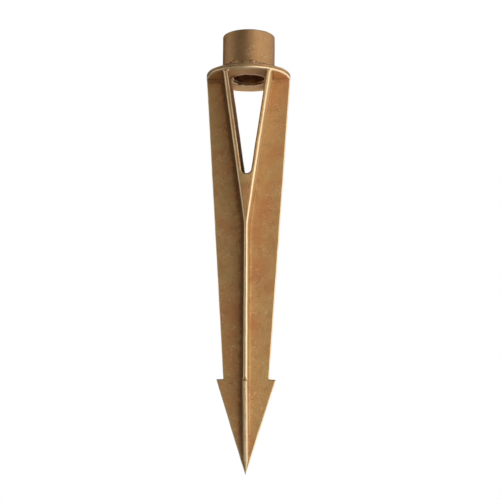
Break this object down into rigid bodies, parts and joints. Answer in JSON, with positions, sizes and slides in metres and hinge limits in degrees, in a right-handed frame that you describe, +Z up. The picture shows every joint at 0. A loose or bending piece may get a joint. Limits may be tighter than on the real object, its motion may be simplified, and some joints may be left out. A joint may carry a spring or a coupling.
{
  "type": "garden torch ground stake",
  "caption": "Brass ground stake with crossed tapering fins, barbed point, forked wire window, round flange and an internally threaded collar.",
  "frame": {"origin": "centre of the flange's underside, which is the level of the ground", "axes": "+Z up along the collar's thread, away from the ground; X across the side fins; the wire window opens towards +Y and -Y"},
  "size_m": [0.0508, 0.0508, 0.262],
  "materials": {
    "turned_brass": "turned, satin, natural brown patina",
    "cast_brass": "fine sand-cast texture, satin patina with worn bright edges",
    "braze": "rough, as brazed"
  },
  "bodies": {
    "root": {"threaded_collar": "turned_brass", "collar_braze": "braze", "flange_plate": "cast_brass", "left_leg": "cast_brass", "right_leg": "cast_brass", "crotch_web": "cast_brass", "spine_blade": "cast_brass", "left_fin": "cast_brass", "right_fin": "cast_brass"}
  },
  "joints": []
}
